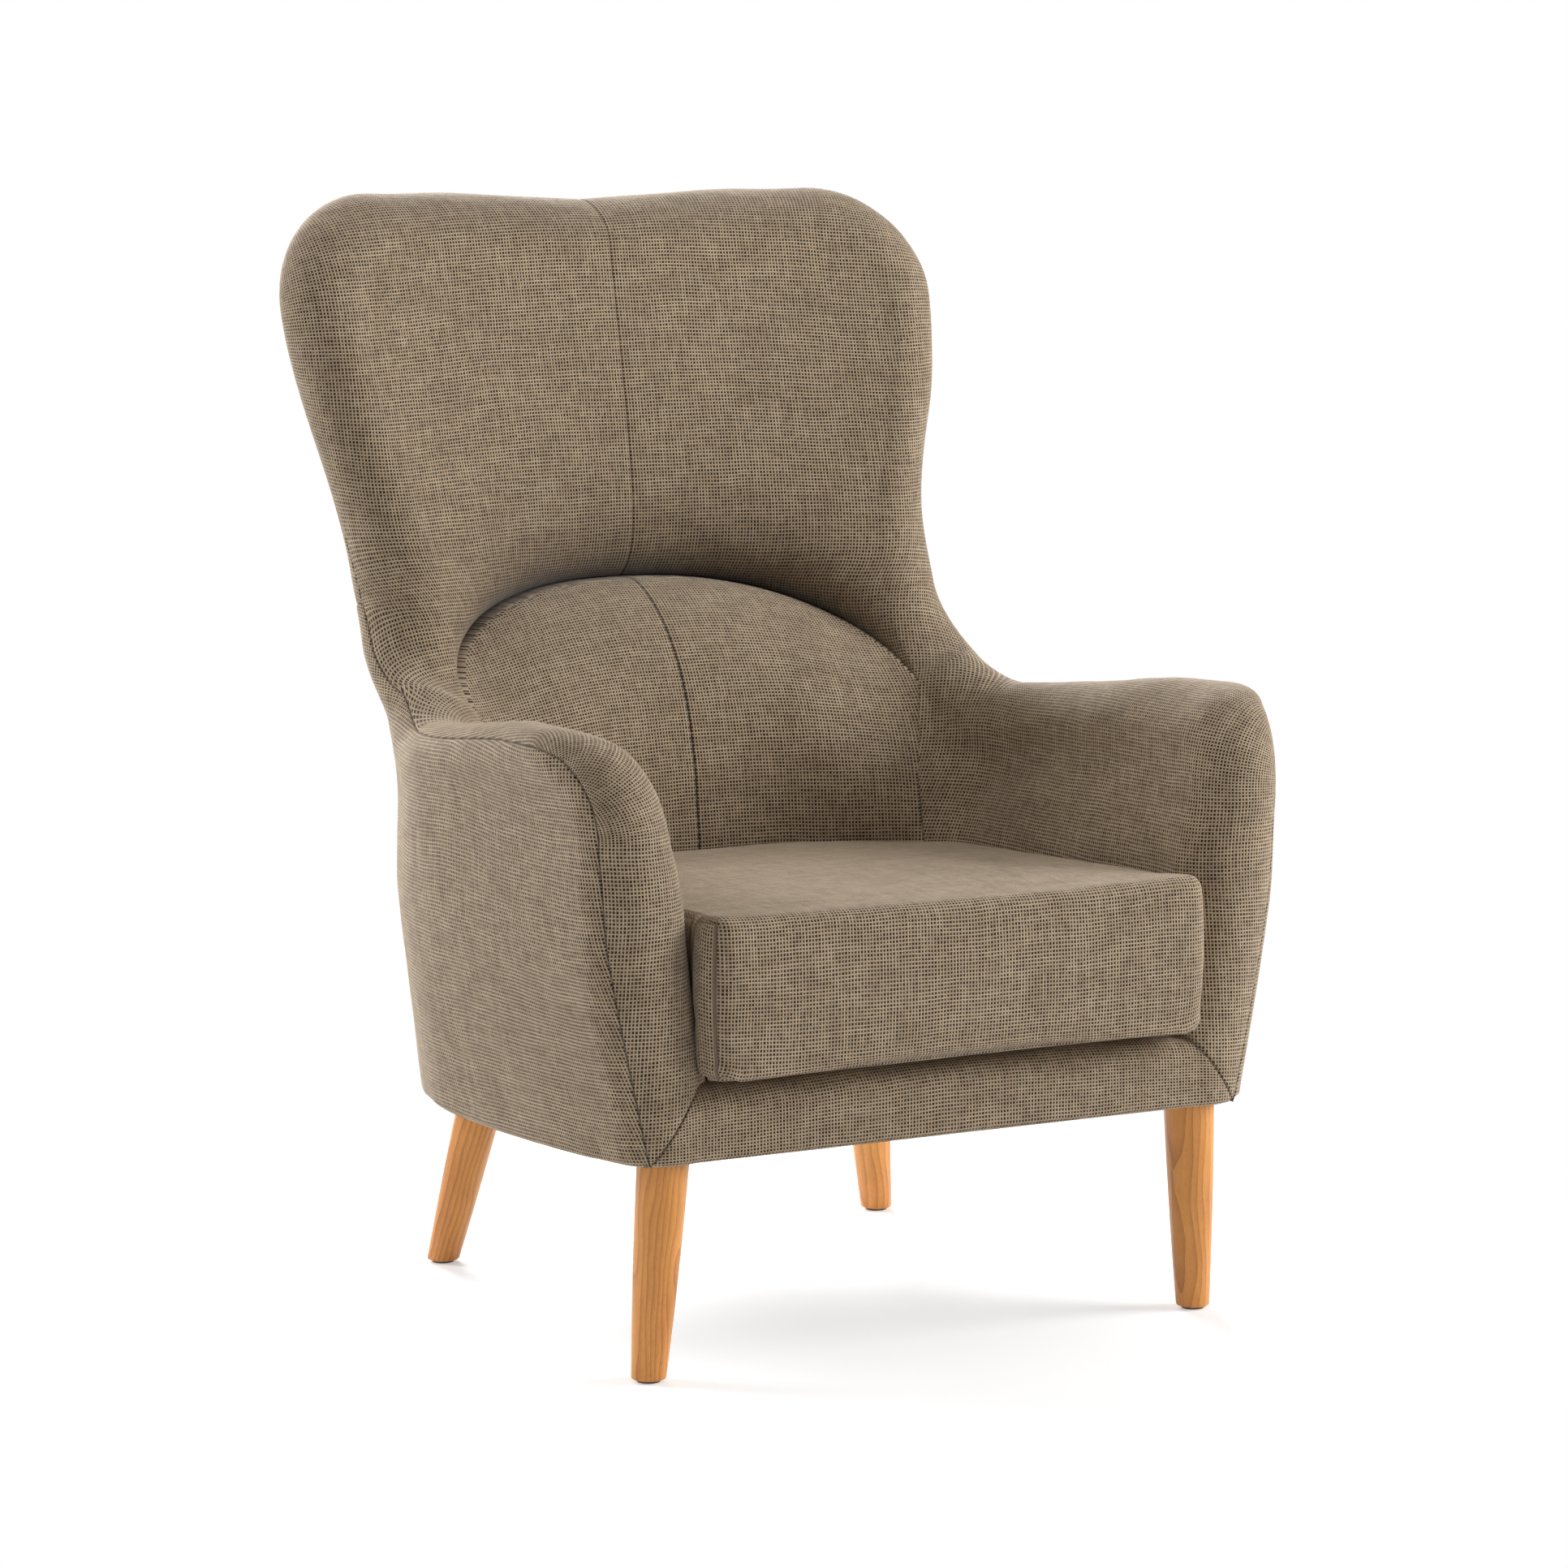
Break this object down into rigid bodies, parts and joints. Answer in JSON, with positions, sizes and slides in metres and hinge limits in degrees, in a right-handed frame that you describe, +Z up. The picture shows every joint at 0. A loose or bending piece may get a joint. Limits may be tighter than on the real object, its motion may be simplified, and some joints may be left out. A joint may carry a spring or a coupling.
{
  "type": "fireside chair",
  "caption": "Upholstered fireside chair: high rounded back flowing into rolled arms, loose boxed seat cushion, tapered oak legs.",
  "frame": {"origin": "on the floor, under the middle of the chair's box", "axes": "+X to the sitter's left when seated (right side in a front view), +Y towards the back of the chair, +Z up"},
  "size_m": [0.7892, 0.8454, 1.0747],
  "materials": {
    "upholstery_cloth": "coarse two-tone basket weave, taupe with dark flecks",
    "lining": "plain dark lining cloth",
    "foam": "open-cell upholstery foam and wadding",
    "frame_timber": "raw beech and birch ply",
    "elastic_webbing": "woven elastic webbing",
    "zinc_steel": "zinc plated",
    "oak": "clear satin lacquer on turned oak",
    "glide_nylon": "moulded nylon"
  },
  "bodies": {
    "chair": {"upper_back_cover_right": "upholstery_cloth", "upper_back_cover_left": "upholstery_cloth", "lumbar_cover_right": "upholstery_cloth", "lumbar_cover_left": "upholstery_cloth", "inside_arm_cover_right": "upholstery_cloth", "inside_arm_cover_left": "upholstery_cloth", "outside_arm_cover_right": "upholstery_cloth", "outside_arm_cover_left": "upholstery_cloth", "outside_back_cover": "upholstery_cloth", "front_rail_cover": "upholstery_cloth", "upper_back_foam": "foam", "lumbar_foam": "foam", "arm_foam_right": "foam", "arm_foam_left": "foam", "outside_arm_wadding_right": "foam", "outside_arm_wadding_left": "foam", "outside_back_wadding": "foam", "front_rail_foam": "foam", "seat_deck_pad": "foam", "base_board": "frame_timber", "front_rail": "frame_timber", "rear_rail": "frame_timber", "side_rail_right": "frame_timber", "side_rail_left": "frame_timber", "arm_panel_right": "frame_timber", "arm_panel_left": "frame_timber", "back_upright_right": "frame_timber", "back_upright_left": "frame_timber", "lumbar_rail": "frame_timber", "neck_rail": "frame_timber", "top_rail": "frame_timber", "back_webbing_1": "elastic_webbing", "back_webbing_2": "elastic_webbing", "back_webbing_3": "elastic_webbing", "seat_spring_1": "zinc_steel", "seat_spring_2": "zinc_steel", "seat_spring_3": "zinc_steel", "seat_spring_4": "zinc_steel", "seat_spring_5": "zinc_steel", "front_leg_bolt_right": "zinc_steel", "front_leg_bolt_left": "zinc_steel", "rear_leg_bolt_right": "zinc_steel", "rear_leg_bolt_left": "zinc_steel", "front_leg_nut_right": "zinc_steel", "front_leg_nut_left": "zinc_steel", "rear_leg_nut_right": "zinc_steel", "rear_leg_nut_left": "zinc_steel", "seat_deck_cover": "lining", "underside_cloth": "lining", "front_leg_right": "oak", "front_leg_left": "oak", "rear_leg_right": "oak", "rear_leg_left": "oak", "front_glide_right": "glide_nylon", "front_glide_left": "glide_nylon", "rear_glide_right": "glide_nylon", "rear_glide_left": "glide_nylon"},
    "seat_cushion": {"seat_cushion_cover": "upholstery_cloth", "cushion_zip": "lining", "seat_cushion_foam": "foam"}
  },
  "joints": [
    {"name": "cushion_lift", "type": "slide", "parent": "chair", "child": "seat_cushion", "axis": [0, 0, 1], "range_m": [0, 0.36]}
  ]
}
